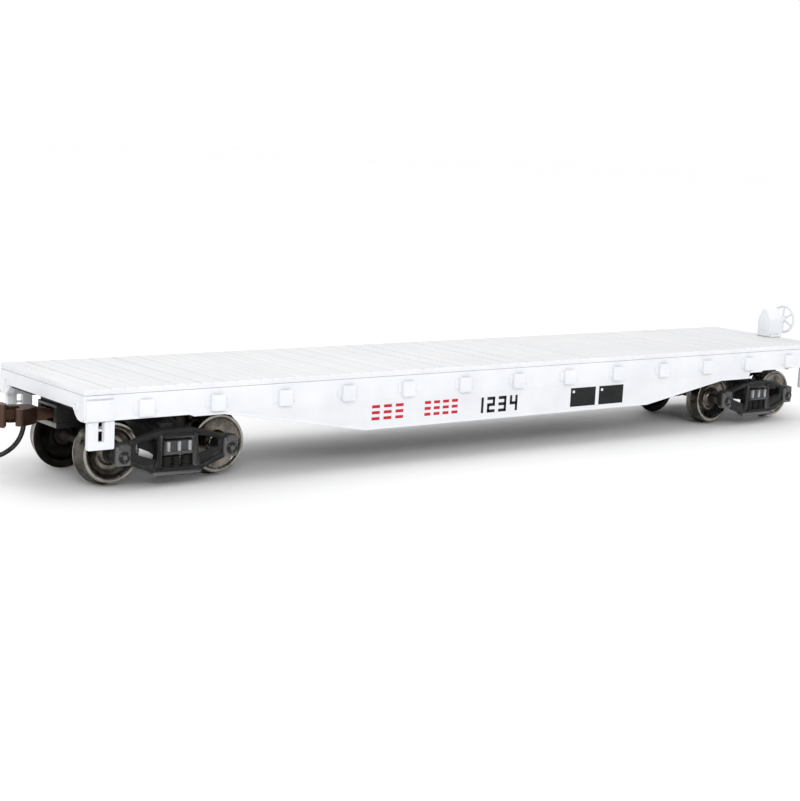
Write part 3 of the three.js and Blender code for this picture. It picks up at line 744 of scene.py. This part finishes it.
def build_brake_stand():
    """The post in front of the end sill and the gear case on the deck behind the wheel."""
    low, high = corners("brake_stand")
    y = (low.y + high.y) / 2
    face = HALF_LENGTH + 0.05
    wheel_z = middle_of("brake_wheel", 2)
    bm = bmesh.new()
    post = [(y - 1.4, low.z), (y + 1.4, low.z), (y + 1.4, wheel_z + 0.1), (y + 0.8, wheel_z + 1.0),
            (y - 0.8, wheel_z + 1.0), (y - 1.4, wheel_z + 0.1)]
    plate_x(bm, [rounded(post, 0.5)], face, face + 1.3, 0.18)
    case = [(y - 1.9, DECK_TOP + 0.95), (y - 1.5, DECK_TOP + 0.05), (y + 1.5, DECK_TOP + 0.05),
            (y + 1.9, DECK_TOP + 0.95), (y + 1.9, high.z - 2.3), (y + 0.7, high.z), (y - 0.7, high.z),
            (y - 1.9, high.z - 2.3)]
    plate_x(bm, [rounded(case, 0.4)], face - 4.0, face + 0.3, 0.3)
    plate_x(bm, [rounded([(y - 1.2, DECK_TOP + 1.5), (y + 1.2, DECK_TOP + 1.5), (y + 1.2, high.z - 2.6),
                          (y, high.z - 1.3), (y - 1.2, high.z - 2.6)], 0.4)], face - 4.15, face - 3.8, 0.1)
    block(bm, (face - 3.6, face - 0.2), (y - 2.3, y + 2.3), (DECK_TOP + 0.05, DECK_TOP + 0.45), 0.1)
    for dx in (-3.1, -0.9):
        for dy in (-2.05, 2.05):
            disc(bm, "z", (face + dx, y + dy, 0), BASE_BOLT_R, DECK_TOP + 0.4, DECK_TOP + 0.62, 0.06, 12)
    for z in (low.z + 0.8, low.z + 2.0):
        for dy in (-0.8, 0.8):
            disc(bm, "x", (0, y + dy, z), BOLT_R, face + 1.2, face + 1.42, 0.06, 12)
    disc(bm, "x", (0, y, wheel_z), 0.95, face + 1.2, face + 1.8, 0.12, 24)
    finish_piece("brake_stand_detail", bm, [white], "car_body", "white_body", "brake_stand")


RIM_POINTS = 14
RIM_R = 0.36
RIM_HALF = 0.38
RIM_AT = 1.15                              # from the wheel's back
HUB = [(0, 0.02), (0.6, 0.02), (0.75, 0.2), (0.8, 1.1), (0.65, 1.4), (0.35, 1.5), (0, 1.52)]
SPOKES = 6
SPOKE_FOOT = 0.4


def build_brake_wheel():
    low, high = corners("brake_wheel")
    radius = (high.z - low.z) / 2
    centre = Matrix.Translation((low.x, (low.y + high.y) / 2, (low.z + high.z) / 2))
    bm = bmesh.new()
    ring = []
    for k in range(RIM_POINTS):
        angle = 2 * math.pi * k / RIM_POINTS
        ring.append((radius - RIM_R + RIM_R * math.cos(angle), RIM_AT + RIM_HALF * math.sin(angle)))
    turned(bm, ring, centre @ ALONG["x"], 64, closed=True)
    turned(bm, HUB, centre @ ALONG["x"], 32)
    for k in range(SPOKES):
        part = bmesh.new()
        block(part, (0.82, 1.22), (-0.27, 0.27), (SPOKE_FOOT, radius - 0.45), 0.1)
        for vertex in part.verts:
            share = (vertex.co.z - SPOKE_FOOT) / (radius - 0.85)
            vertex.co.y *= 1.15 - 0.4 * share
            vertex.co.x += 0.12 * share
        merge(bm, part, centre @ Matrix.Rotation(k * 2 * math.pi / SPOKES, 4, "X"))
    finish_piece("brake_wheel_detail", bm, [white], "brake_wheel_body", "white_body", "brake_wheel")


build_brake_stand()
build_brake_wheel()

# ------------------------------------------------------------------ underframe
BLACK_PARTS = {                            # node: how far its edges are rounded
    "centre_sill": 0.14, "crossbearer_1": 0.12, "crossbearer_2": 0.12, "crossbearer_3": 0.12,
    "crossbearer_4": 0.12, "body_bolster_a": 0.16, "body_bolster_b": 0.16, "draft_gear_box_a": 0.12,
    "draft_gear_box_b": 0.12, "control_valve": 0.14,
}
SILL_FLANGE = both_sides([(33.3, 8.55), (56.8, 13.25), (56.8, 13.7), (33.0, 9.05)])


def add_sill_flanges(shape):
    """The flange along each lower edge of the centre sill, and a row of rivets above it."""
    for sign in (-1, 1):
        plate_y(shape, [SILL_FLANGE], sign * 3.1, sign * 3.7, 0.08)
        for k in range(-7, 8):
            disc(shape, "y", (k * 4.4, 0, 9.9), 0.18, sign * 3.15, sign * 3.35, 0.06, 10)


def add_box_lip(shape, end):
    """The upper lip of the coupler box's mouth, in the truck's grey, whose lightened edges and top paint a
    highlight band there.
    """
    mouth = corners("draft_gear_box_b")[1]
    extra = bmesh.new()
    block(extra, (mouth.x - 0.5, mouth.x + 0.04), (-3.42, 3.42), (mouth.z - 0.52, mouth.z - 0.06), 0.08, 2, 1)
    append(shape, extra, end_place(end))


def add_bearer_flanges(shape, node):
    """The flange under each arm of a crossbearer."""
    x, foot = middle_of(node, 0), corners(node)[0].z
    for sign in (-1, 1):
        block(shape, (x - 1.1, x + 1.1), sorted((sign * 3.5, sign * 8.9)), (foot - 0.02, foot + 0.4), 0.08)


def build_black_part(node, bevel):
    shape = node_shape(node, bevel)
    if node == "centre_sill":
        add_sill_flanges(shape)
    elif node.startswith("draft_gear_box"):
        add_box_lip(shape, node[-1])
    elif node.startswith("crossbearer"):
        add_bearer_flanges(shape, node)
    finish_piece(f"{node}_detail", shape, [black, truck_grey], "car_body", "black_underframe", node)


for node, bevel in BLACK_PARTS.items():
    build_black_part(node, bevel)


def build_frame_edge(end):
    """The black edge of the underframe that shows below each end sill."""
    bm = bmesh.new()
    for sign in (-1, 1):
        block(bm, (HALF_LENGTH - 1.45, HALF_LENGTH - 0.4), sorted((sign * 3.7, sign * 11.7)),
              (END_MIDDLE_Z - 0.42, END_MIDDLE_Z + 0.1), 0.1)
        for k in range(4):
            disc(bm, "z", (HALF_LENGTH - 0.95, sign * (4.8 + k * 2.0), 0), 0.22, END_MIDDLE_Z - 0.38,
                 END_MIDDLE_Z - 0.52, 0.05, 10)
    bmesh.ops.transform(bm, matrix=end_place(end), verts=bm.verts)
    finish_piece(f"underframe_edge_{end}", bm, [black], "car_body", "black_underframe")


def build_cover(end):
    """The plate under a coupler box, with two ribs, the pivot's boss and a front edge painted pale as a
    highlight.
    """
    shape = node_shape(f"draft_gear_cover_{end}", 0.14)
    low, high = corners("draft_gear_cover_b")
    extra = bmesh.new()
    for sign in (-1, 1):
        block(extra, (low.x + 3.4, high.x - 0.6), sorted((sign * 2.2, sign * 2.7)),
              (low.z - 0.12, low.z + 0.2), 0.06)
    disc(extra, "z", (PIVOT_X, 0, 0), 1.1, low.z + 0.1, low.z - 0.15, 0.08, 24)
    # the front edge, in the painted highlight
    block(extra, (high.x - 0.4, high.x + 0.05), (-3.4, 3.4), (low.z + 0.08, high.z), 0.08, 2, 1)
    append(shape, extra, end_place(end))
    finish_piece(f"draft_gear_cover_{end}_detail", shape, [black, lip_painted_highlight], "car_body", "black_underframe",
                 f"draft_gear_cover_{end}")


DOME_STEPS = 5


def build_air_vessel(node, bands):
    """A drum with domed ends, a band at each share of its length and a bracket up to the floor."""
    low, high = corners(node)
    radius = (high.y - low.y) / 2
    y = (high.y + low.y) / 2
    z = low.z + radius
    x0, x1 = low.x, high.x
    bm = bmesh.new()
    place = Matrix.Translation((0, y, z)) @ ALONG["x"]
    dome = []
    for k in range(1, DOME_STEPS + 1):
        angle = math.pi / 2 * k / DOME_STEPS
        dome.append((radius * 0.96 * math.sin(angle), radius * 0.45 * (1 - math.cos(angle))))
    profile = [(0, x0)] + [(r, x0 + h) for r, h in dome] + [(r, x1 - h) for r, h in dome[::-1]] + [(0, x1)]
    turned(bm, profile, place, 40)
    for share in bands:
        x = x0 + (x1 - x0) * share
        band = [(radius * 0.9, x - 0.35), (radius, x - 0.3), (radius, x + 0.3), (radius * 0.9, x + 0.35)]
        turned(bm, band, place, 40, closed=True)
    middle = (x0 + x1) / 2
    block(bm, (middle - 1.6, middle + 1.6), (y - 0.8, y + 0.8), (z, high.z), 0.1)
    tube(bm, [(x0 + 0.2, y, z), (x0, y, z)], 0.3)
    finish_piece(f"{node}_detail", bm, [black], "car_body", "black_underframe", node)


for end in ("a", "b"):
    build_frame_edge(end)
    build_cover(end)
build_air_vessel("brake_cylinder", (0.22, 0.82))
build_air_vessel("air_reservoir", (0.18, 0.5, 0.82))


THREAD_PITCH = 0.36


def build_screw(node, body):
    """A slotted pan head screw under the piece that it holds."""
    low, high = corners(node)
    x, y = (low.x + high.x) / 2, (low.y + high.y) / 2
    head_r = (high.x - low.x) / 2
    head, shank = (1.65, 1.0) if head_r > 1.5 else (0.6, 0.6)
    profile = [(0, low.z + 0.02), (head_r * 0.72, low.z + 0.02), (head_r * 0.92, low.z + head * 0.18),
               (head_r, low.z + head * 0.5), (head_r, low.z + head), (shank, low.z + head)]
    z = low.z + head + 0.3
    while z < high.z - 0.8:
        profile += [(shank, z), (shank * 0.82, z + THREAD_PITCH / 2)]
        z += THREAD_PITCH
    profile += [(shank * 0.85, high.z - 0.5), (0, high.z)]
    bm = bmesh.new()
    turned(bm, profile, Matrix.Translation((x, y, 0)), 32)
    screw = as_object("screw", bm)
    slot = bmesh.new()
    block(slot, (x - head_r - 1, x + head_r + 1), (y - head_r * 0.13, y + head_r * 0.13),
          (low.z - 1, low.z + head * 0.45), 0.0)
    cutter = as_object("slot", slot)
    modifier = screw.modifiers.new("slot", "BOOLEAN")
    modifier.operation = "DIFFERENCE"
    modifier.solver = "EXACT"
    modifier.object = cutter
    shape = evaluated(screw)
    bpy.data.objects.remove(cutter)
    finish_piece(f"{node}_detail", shape, [screw_metal], body, "screw_steel", node)


for end in ("a", "b"):
    build_screw(f"cover_screw_{end}", "car_body")
    build_screw(f"truck_{end}_screw", "car_body")


# -------------------------------------------------------------------- couplers
TRIP_PIN_R = 0.42
TRIP_PIN = [                               # along the wire, from the coupler's pivot
    (8.4, 0.1, -1.0), (8.5, 0.1, -2.2), (8.85, 0.0, -3.6), (9.6, -0.3, -5.0), (10.9, -0.8, -6.3),
    (12.3, -1.3, -7.0), (13.3, -1.6, -7.15),
]


def build_coupler(end):
    for kind, bevel in (("coupler", 0.16), ("knuckle", 0.2)):
        node = f"{kind}_{end}"
        finish_piece(f"{node}_detail", node_shape(node, bevel, 3, 25.0), [coupler_brown], f"{node}_body",
                     "coupler_brown", node)
    bm = bmesh.new()
    tube(bm, TRIP_PIN, TRIP_PIN_R, 16, 0, 6)
    place = end_place(end, PIVOT_X) @ Matrix.Translation((0, 0, COUPLER_Z))
    bmesh.ops.transform(bm, matrix=place, verts=bm.verts)
    finish_piece(f"trip_pin_{end}_detail", bm, [pin_metal], f"coupler_{end}_body", "pin_wire",
                 f"trip_pin_{end}")


for end in ("a", "b"):
    build_coupler(end)

# ---------------------------------------------------------------------- trucks
FRAME_IN_Y = 12.35
FRAME_OUT_Y = 13.7
RIB_IN_Y = FRAME_OUT_Y - 0.3
RIB_OUT_Y = FRAME_OUT_Y + 0.42
JOURNAL_OUT_Y = 14.4
FRAME_TOP_Z = 9.8
FRAME_FOOT_Z = 2.0
FRAME_EDGE = [                             # the frame's right half from the top to the foot
    (3.2, FRAME_TOP_Z), (5.6, 9.3), (8.6, 8.3), (HALF_BASE + 1.0, 8.1), (HALF_BASE + 1.45, 7.7),
    (HALF_BASE + 1.45, 4.8), (HALF_BASE + 1.0, 4.3), (HALF_BASE - 1.2, 4.3), (5.0, 2.8),
    (4.4, FRAME_FOOT_Z),
]
SPRING_WINDOW = [(-2.95, 3.4), (2.95, 3.4), (2.95, 8.2), (-2.95, 8.2)]
SIDE_WINDOW = [(4.0, 4.7), (8.0, 6.1), (8.0, 7.75), (4.0, 8.55)]
ARCH = [                                   # the raised rib along the top
    (3.2, FRAME_TOP_Z), (5.6, 9.3), (8.6, 8.3), (9.2, 8.2), (9.2, 7.65), (8.6, 7.75), (5.4, 8.72),
    (3.1, 9.2),
]
SLING_OUT = [(9.2, 4.3), (5.0, 2.8), (4.4, FRAME_FOOT_Z)]
SLING_IN = [(4.0, 3.1), (4.8, 3.5), (9.0, 5.0)]
COLUMN = [(3.1, 9.0), (3.75, 9.0), (4.1, 4.9), (4.6, 3.2), (3.1, 3.2)]
BEARING_CAP = [                            # (radius, height) from the middle of its back round to its front
    (0, 0), (1.12, 0), (1.12, 0.22), (1.0, 0.3), (0.55, 0.32), (0.5, 0.45), (0.28, 0.5), (0, 0.5),
]
CAP_BOLT = [(0, 0.25), (0.17, 0.25), (0.17, 0.4), (0.1, 0.46), (0, 0.46)]
CAP_BOLTS = 3
CAP_BOLT_RING = 0.76
SPRINGS_X = (-1.85, 0.0, 1.85)
SPRINGS_Y = 13.05
SPRING_FOOT_Z = 3.4
SPRING_TALL = 1.95
COILS = ((0.66, 0.17, 5.0), (0.34, 0.12, 7.0))         # radius, wire's radius, turns
STEPS_PER_TURN = 14


def add_journal(bm, x, sign, ys):
    """An axle box with its lid's ledge and a bearing cap that three bolts hold."""
    block(bm, (x - 1.35, x + 1.35), ys(FRAME_IN_Y + 0.1, JOURNAL_OUT_Y - 0.15), (4.35, 7.75), 0.35, 3)
    block(bm, (x - 0.95, x + 0.95), ys(FRAME_OUT_Y, JOURNAL_OUT_Y), (7.1, 8.05), 0.15)
    place = Matrix.Translation((x, sign * (JOURNAL_OUT_Y - 0.25), AXLE_Z))
    place = place @ (ALONG["y"] if sign > 0 else ALONG["y"] @ Matrix.Rotation(math.pi, 4, "X"))
    turned(bm, BEARING_CAP, place, 32)
    for k in range(CAP_BOLTS):
        angle = math.pi / 2 + k * 2 * math.pi / CAP_BOLTS
        spot = (CAP_BOLT_RING * math.cos(angle), CAP_BOLT_RING * math.sin(angle), 0)
        turned(bm, CAP_BOLT, place @ Matrix.Translation(spot), 6)


def add_spring(bm, x, y):
    """A coil inside a coil on a round seat, in the plain black as painted shade inside the window."""
    for radius, wire, turns in COILS:
        steps = int(turns * STEPS_PER_TURN)
        points = []
        for k in range(steps + 1):
            angle = 2 * math.pi * turns * k / steps
            points.append((x + radius * math.cos(angle), y + radius * math.sin(angle),
                           SPRING_FOOT_Z + SPRING_TALL * k / steps))
        tube(bm, points, wire, 8, 1)
    disc(bm, "z", (x, y, 0), 0.85, SPRING_FOOT_Z - 0.15, SPRING_FOOT_Z + 0.05, 0.05, 20, 1)


def build_side_frame(end, sign):
    bm = bmesh.new()

    def ys(a, b):
        return sorted((sign * a, sign * b))

    loops = [rounded(both_sides(FRAME_EDGE), 0.5), rounded(SPRING_WINDOW, 0.25), rounded(SIDE_WINDOW, 0.45),
             rounded(mirrored(SIDE_WINDOW)[::-1], 0.45)]
    plate_y(bm, loops, *ys(FRAME_IN_Y, FRAME_OUT_Y), 0.16)
    plate_y(bm, [rounded(both_sides(ARCH), 0.25)], *ys(RIB_IN_Y, RIB_OUT_Y), 0.13)
    sling = SLING_OUT + mirrored(SLING_OUT)[::-1] + mirrored(SLING_IN)[::-1] + SLING_IN
    plate_y(bm, [rounded(sling, 0.2)], *ys(RIB_IN_Y, RIB_OUT_Y), 0.13)
    for half in (-1, 1):
        column = [(half * a, b) for a, b in COLUMN]
        plate_y(bm, [rounded(column[::half], 0.15)], *ys(RIB_IN_Y, FRAME_OUT_Y + 0.28), 0.12)
    # the seat under the spring window, in the plain black without the truck's painted highlight and top
    # light, as painted shade
    block(bm, (-3.2, 3.2), ys(FRAME_OUT_Y - 0.6, FRAME_OUT_Y + 0.5), (2.9, 3.4), 0.1, 2, 1)
    for x in (-HALF_BASE, HALF_BASE):
        add_journal(bm, x, sign, ys)
    for x in SPRINGS_X:
        add_spring(bm, x, sign * SPRINGS_Y)
    bmesh.ops.transform(bm, matrix=end_place(end, TRUCK_X), verts=bm.verts)
    node = f"truck_{end}_frame_{side_name(end, sign)}"
    finish_piece(f"{node}_detail", bm, [truck_grey, black], f"truck_{end}", "truck_plastic", node)


BOLSTER_FACE_Y = 13.9
BARS_X = (-2.05, 0.0, 2.05)
BAR_HALF = 0.27


def build_bolster(end):
    """The beam across a truck: bars over its ends painted pale as highlights, a ledge under them and side
    bearings on top.
    """
    node = f"truck_{end}_bolster"
    shape = node_shape(node, 0.16)
    extra = bmesh.new()
    for sign in (-1, 1):
        for x in BARS_X:
            # material 1 is the bars' painted highlight
            block(extra, (x - BAR_HALF, x + BAR_HALF), sorted((sign * BOLSTER_FACE_Y, sign * 14.45)),
                  (6.15, 7.85), 0.12, 3, 1)
        block(extra, (-2.7, 2.7), sorted((sign * BOLSTER_FACE_Y, sign * 14.35)), (5.65, 6.1), 0.1)
        block(extra, (-1.2, 1.2), sorted((sign * 8.0, sign * 10.0)), (9.2, 10.25), 0.15)
    append(shape, extra, end_place(end, TRUCK_X))
    finish_piece(f"{node}_detail", shape, [truck_grey, bars_painted_highlight], f"truck_{end}", "truck_plastic", node)


AXLE_HALF = [                              # (radius, distance from the middle) out to the needle point
    (0.72, 0), (0.72, 5.6), (0.8, 6.0), (1.0, 6.3), (1.0, 11.25), (0.92, 11.35), (0.75, 11.6),
    (0.5, 12.15), (0.12, 12.9), (0, 13.0),
]


def build_axle(end, place_name):
    node = f"axle_{end}_{place_name}"
    profile = [(r, -h) for r, h in AXLE_HALF[::-1]] + AXLE_HALF[1:]
    bm = bmesh.new()
    turned(bm, profile, Matrix.Translation((middle_of(node, 0), 0, AXLE_Z)) @ ALONG["y"], 32)
    finish_piece(f"{node}_detail", bm, [axle_dark], f"wheelset_{end}_{place_name}", "axle_plastic", node)


BACK = 7.2                                 # the wheel's back and front, from the middle of the axle
FRONT = 10.0
# painted copies of one metal: dark tread and back as reflected shade, pale rim and cone as highlight and
# reflection, plate with painted reflection patches
WHEEL_MATERIALS = [tread_painted_dark_reflection, plate_painted_reflections, bushing, rim_painted_highlight, back_painted_shade, cone_painted_reflection]
TREAD, PLATE, BUSH, RIM, REAR, CONE = range(6)
# (radius, distance from the middle of the axle, material of the band to the next point)
WHEEL = [
    (1.06, BACK + 0.12, BUSH), (1.7, BACK + 0.12, REAR), (1.9, BACK + 0.2, REAR), (2.1, BACK + 0.55, REAR),
    (2.5, BACK + 0.78, REAR), (3.7, BACK + 0.8, REAR), (4.15, BACK + 0.6, REAR), (4.4, BACK + 0.12, REAR),
    (4.55, BACK, REAR), (FLANGE_R - 0.18, BACK, REAR), (FLANGE_R - 0.05, BACK + 0.06, RIM),
    (FLANGE_R, BACK + 0.22, RIM), (FLANGE_R - 0.02, BACK + 0.36, TREAD), (FLANGE_R - 0.14, BACK + 0.5, TREAD),
    (TREAD_R + 0.22, BACK + 0.66, TREAD), (TREAD_R + 0.06, BACK + 0.82, TREAD), (TREAD_R, BACK + 1.02, TREAD),
    (TREAD_R - 0.085, FRONT - 0.12, RIM), (TREAD_R - 0.12, FRONT - 0.03, RIM), (TREAD_R - 0.2, FRONT, RIM),
    (4.72, FRONT, TREAD), (4.5, FRONT - 0.06, CONE), (4.38, FRONT - 0.24, CONE), (4.22, FRONT - 0.40, PLATE),
    (3.7, FRONT - 0.58, PLATE), (3.1, FRONT - 0.77, PLATE), (2.6, FRONT - 0.90, PLATE),
    (2.3, FRONT - 0.86, PLATE), (2.05, FRONT - 0.55, PLATE), (1.85, FRONT - 0.25, PLATE),
    (1.7, FRONT - 0.14, BUSH), (1.06, FRONT - 0.14, BUSH),
]


def build_wheel(end, place_name, sign):
    node = f"wheel_{end}_{place_name}_{side_name(end, sign)}"
    outward = 1 if corners(node)[1].y > 0 else -1
    bm = bmesh.new()
    turned(bm, [(r, outward * h) for r, h, _ in WHEEL],
           Matrix.Translation((middle_of(node, 0), 0, AXLE_Z)) @ ALONG["y"], 96,
           [material for _, _, material in WHEEL], closed=True)
    finish_piece(f"{node}_detail", bm, WHEEL_MATERIALS, f"wheelset_{end}_{place_name}", "wheel_metal", node,
                 smooth=30.0)


for end in ("a", "b"):
    build_bolster(end)
    for sign in (-1, 1):
        build_side_frame(end, sign)
    for place_name in ("outer", "inner"):
        build_axle(end, place_name)
        for sign in (-1, 1):
            build_wheel(end, place_name, sign)

# ------------------------------------------------------- carried-over CAD node
weight = NODES["weight"]
weight.data.materials.clear()
weight.data.materials.append(weight_metal)

# ----------------------------------------------------------- floor and lights
FLOOR_HALF = 3.0                           # metres, as everything below
FADE = (0.35, 1.1)                         # the floor turns white over this distance from the middle


def build_floor():
    mesh = bpy.data.meshes.new("floor")
    points = [(a, b, 0) for a, b in rectangle(-FLOOR_HALF, FLOOR_HALF, -FLOOR_HALF, FLOOR_HALF)]
    mesh.from_pydata(points, [], [(0, 1, 2, 3)])
    floor = new_object("floor", mesh)
    s = Shader("pale_floor")
    near = s.ramp(s.noise(6.0, 3.0), [(0.3, (0.90, 0.90, 0.90)), (0.7, (0.93, 0.93, 0.93))])
    reach = s.add("ShaderNodeVectorMath", operation="LENGTH")
    s.link(s.coords, reach.inputs[0])
    s.color(s.mix(s.span(reach.outputs["Value"], 0.0, 1.0, *FADE), near, (0.995, 0.995, 0.995)))
    s.fixed("Roughness", 0.75)
    mesh.materials.append(s.material)


build_floor()


LIT_POINT = Vector((0, 0, 0.01))


def area_light(name, location, size, power):
    """A soft white light that points at the car."""
    data = bpy.data.lights.new(name, "AREA")
    data.shape = "RECTANGLE"
    data.size, data.size_y = size
    data.energy = power
    light = new_object(name, data)
    light.location = location
    light.rotation_euler = (LIT_POINT - Vector(location)).to_track_quat("-Z", "Y").to_euler()


area_light("key", (-0.45, -0.75, 0.50), (0.35, 0.25), 2.2)
area_light("top", (0.15, -0.10, 0.90), (0.4, 0.4), 0.7)
area_light("back", (0.35, 0.75, 0.45), (0.6, 0.4), 0.7)

world = bpy.data.worlds.new("studio")
bpy.context.scene.world = world
world.use_nodes = True
background = world.node_tree.nodes["Background"]
background.inputs["Color"].default_value = (1.0, 1.0, 1.0, 1.0)
background.inputs["Strength"].default_value = 1.0

bpy.context.scene.view_settings.view_transform = "Standard"

# ---------------------------------------------------------------------- camera
CAMERA_AT = Vector((-0.215007, -0.247955, 0.061320))
YAW = math.radians(38.66188)
PITCH = math.radians(-9.38548)
ROLL = math.radians(2.96380)
SENSOR = 36.0
FOCAL_SHARE = 1636.033 / 800.0             # focal length as a share of the frame's width


def build_camera():
    """The camera at CAMERA_AT, turned by YAW from +Y towards +X, then by PITCH and ROLL."""
    data = bpy.data.cameras.new("camera")
    data.sensor_fit = "HORIZONTAL"
    data.sensor_width = SENSOR
    data.lens = SENSOR * FOCAL_SHARE
    data.clip_start = 0.01
    data.clip_end = 50.0
    forward = Vector((math.sin(YAW) * math.cos(PITCH), math.cos(YAW) * math.cos(PITCH), math.sin(PITCH)))
    right = Vector((math.cos(YAW), -math.sin(YAW), 0.0))
    up = right.cross(forward)
    turned_right = right * math.cos(ROLL) + up * math.sin(ROLL)
    turned_up = -right * math.sin(ROLL) + up * math.cos(ROLL)
    camera = new_object("camera", data)
    basis = Matrix((turned_right, turned_up, -forward)).transposed()
    camera.matrix_world = Matrix.Translation(CAMERA_AT) @ basis.to_4x4()
    bpy.context.scene.camera = camera


build_camera()
